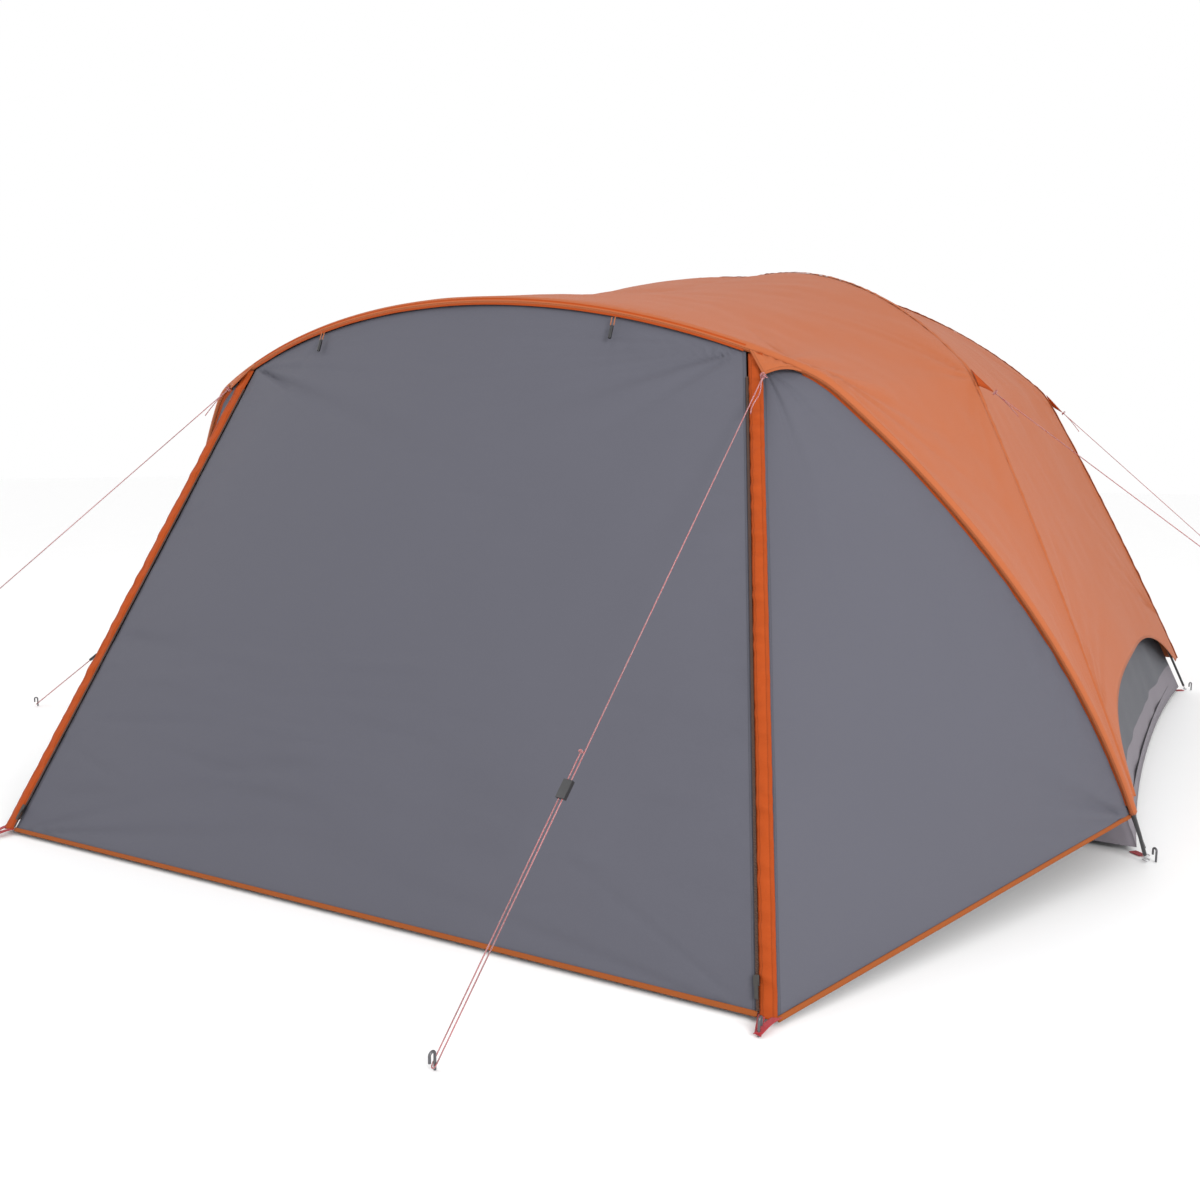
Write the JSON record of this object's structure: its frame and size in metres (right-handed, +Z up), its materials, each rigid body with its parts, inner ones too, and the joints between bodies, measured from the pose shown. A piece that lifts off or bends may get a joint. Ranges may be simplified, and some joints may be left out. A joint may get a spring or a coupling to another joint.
{
  "type": "dome tent with porch",
  "caption": "Crossing-pole dome tent with a leaning porch pole, closed front porch, inner tent and groundsheet, pitched and guyed.",
  "frame": {"origin": "centre of the footprint on the ground, without the guy cords", "axes": "+Z up, the porch door faces -Y, +X across the tent"},
  "size_m": [5.8463, 4.9238, 1.979],
  "materials": {
    "fly_orange": "coated polyester taffeta",
    "strip_orange": "coated polyester taffeta",
    "fly_gray": "coated polyester taffeta",
    "inner_gray": "uncoated polyester",
    "floor_sheet": "laminated groundsheet",
    "pole_black": "fibreglass rod",
    "steel": "plated",
    "peg_steel": "bent wire",
    "cord_red": "braided with reflective tracer",
    "webbing_red": "woven webbing",
    "cord_orange": "elastic cord",
    "zip_dark": "coil zip",
    "black_plastic": "moulded"
  },
  "bodies": {
    "tent": {"brow_trim": "fly_orange", "corner_loop_left": "webbing_red", "corner_loop_right": "webbing_red", "corner_pegs": "peg_steel", "corner_strip_left": "strip_orange", "corner_strip_right": "strip_orange", "dome_pole_a": "pole_black", "dome_pole_b": "pole_black", "door_zip_left": "zip_dark", "door_zip_right": "zip_dark", "fly_back": "fly_orange", "fly_left": "fly_orange", "fly_porch_roof": "fly_orange", "fly_right": "fly_orange", "foot_webbing": "webbing_red", "guy_cord_1": "cord_red", "guy_cord_2": "cord_red", "guy_cord_3": "cord_red", "guy_cord_4": "cord_red", "guy_cord_5": "cord_red", "guy_peg_1": "peg_steel", "guy_peg_2": "peg_steel", "guy_peg_3": "peg_steel", "guy_peg_4": "peg_steel", "guy_peg_5": "peg_steel", "guy_tabs": "fly_orange", "inner_floor": "floor_sheet", "inner_tent_clips": "black_plastic", "inner_wall_back": "inner_gray", "inner_wall_front": "inner_gray", "inner_wall_left": "inner_gray", "inner_wall_right": "inner_gray", "peak_flap_left": "fly_orange", "peak_flap_right": "fly_orange", "pin_rings": "steel", "pole_ferrules": "steel", "pole_foot_pins": "steel", "porch_header": "fly_gray", "porch_pole": "pole_black", "porch_side_left": "fly_gray", "porch_side_right": "fly_gray"},
    "porch_door": {"porch_door": "fly_gray"},
    "inner_door": {"inner_door": "inner_gray"},
    "door_zip_slider_right": {"door_zip_slider_right": "steel"},
    "door_toggle_right": {"door_toggle_right": "black_plastic", "toggle_loop_right": "cord_orange"},
    "door_zip_slider_left": {"door_zip_slider_left": "steel"},
    "door_toggle_left": {"door_toggle_left": "black_plastic", "toggle_loop_left": "cord_orange"},
    "guy_slider_1": {"guy_slider_1": "black_plastic"},
    "guy_slider_2": {"guy_slider_2": "black_plastic"},
    "guy_slider_3": {"guy_slider_3": "black_plastic"},
    "guy_slider_4": {"guy_slider_4": "black_plastic"},
    "guy_slider_5": {"guy_slider_5": "black_plastic"}
  },
  "joints": [
    {"name": "porch_door_lift", "type": "hinge", "parent": "tent", "child": "porch_door", "pos_m": [0, -1.6, 1.445], "axis": [-1, 0, 0], "range_deg": [0, 70], "deforming": ["porch_door"]},
    {"name": "inner_door_drop", "type": "hinge", "parent": "tent", "child": "inner_door", "pos_m": [0, -0.6039, 0.152], "axis": [1, 0, 0], "range_deg": [0, 100]},
    {"name": "door_zip_run_right", "type": "slide", "parent": "tent", "child": "door_zip_slider_right", "axis": [-0.2098, 0.4383, 0.874], "range_m": [0, 1.42]},
    {"name": "door_toggle_swing_right", "type": "hinge", "parent": "tent", "child": "door_toggle_right", "pos_m": [0.5086, -1.5466, 1.5357], "axis": [-1, 0, 0], "range_deg": [0, 100]},
    {"name": "door_zip_run_left", "type": "slide", "parent": "tent", "child": "door_zip_slider_left", "axis": [0.2098, 0.4383, 0.874], "range_m": [0, 1.42]},
    {"name": "door_toggle_swing_left", "type": "hinge", "parent": "tent", "child": "door_toggle_left", "pos_m": [-0.5086, -1.5466, 1.5357], "axis": [-1, 0, 0], "range_deg": [0, 100]},
    {"name": "guy_slider_run_1", "type": "slide", "parent": "tent", "child": "guy_slider_1", "axis": [0.1078, 0.6399, 0.7609], "range_m": [-0.2, 0.04]},
    {"name": "guy_slider_run_2", "type": "slide", "parent": "tent", "child": "guy_slider_2", "axis": [0.5164, 0.5328, 0.6704], "range_m": [-0.2, 0.04]},
    {"name": "guy_slider_run_3", "type": "slide", "parent": "tent", "child": "guy_slider_3", "axis": [0.6893, 0.3621, 0.6275], "range_m": [-0.2, 0.04]},
    {"name": "guy_slider_run_4", "type": "slide", "parent": "tent", "child": "guy_slider_4", "axis": [-0.7891, -0.1094, 0.6045], "range_m": [-0.2, 0.04]},
    {"name": "guy_slider_run_5", "type": "slide", "parent": "tent", "child": "guy_slider_5", "axis": [-0.74, -0.0375, 0.6715], "range_m": [-0.2, 0.04]}
  ]
}
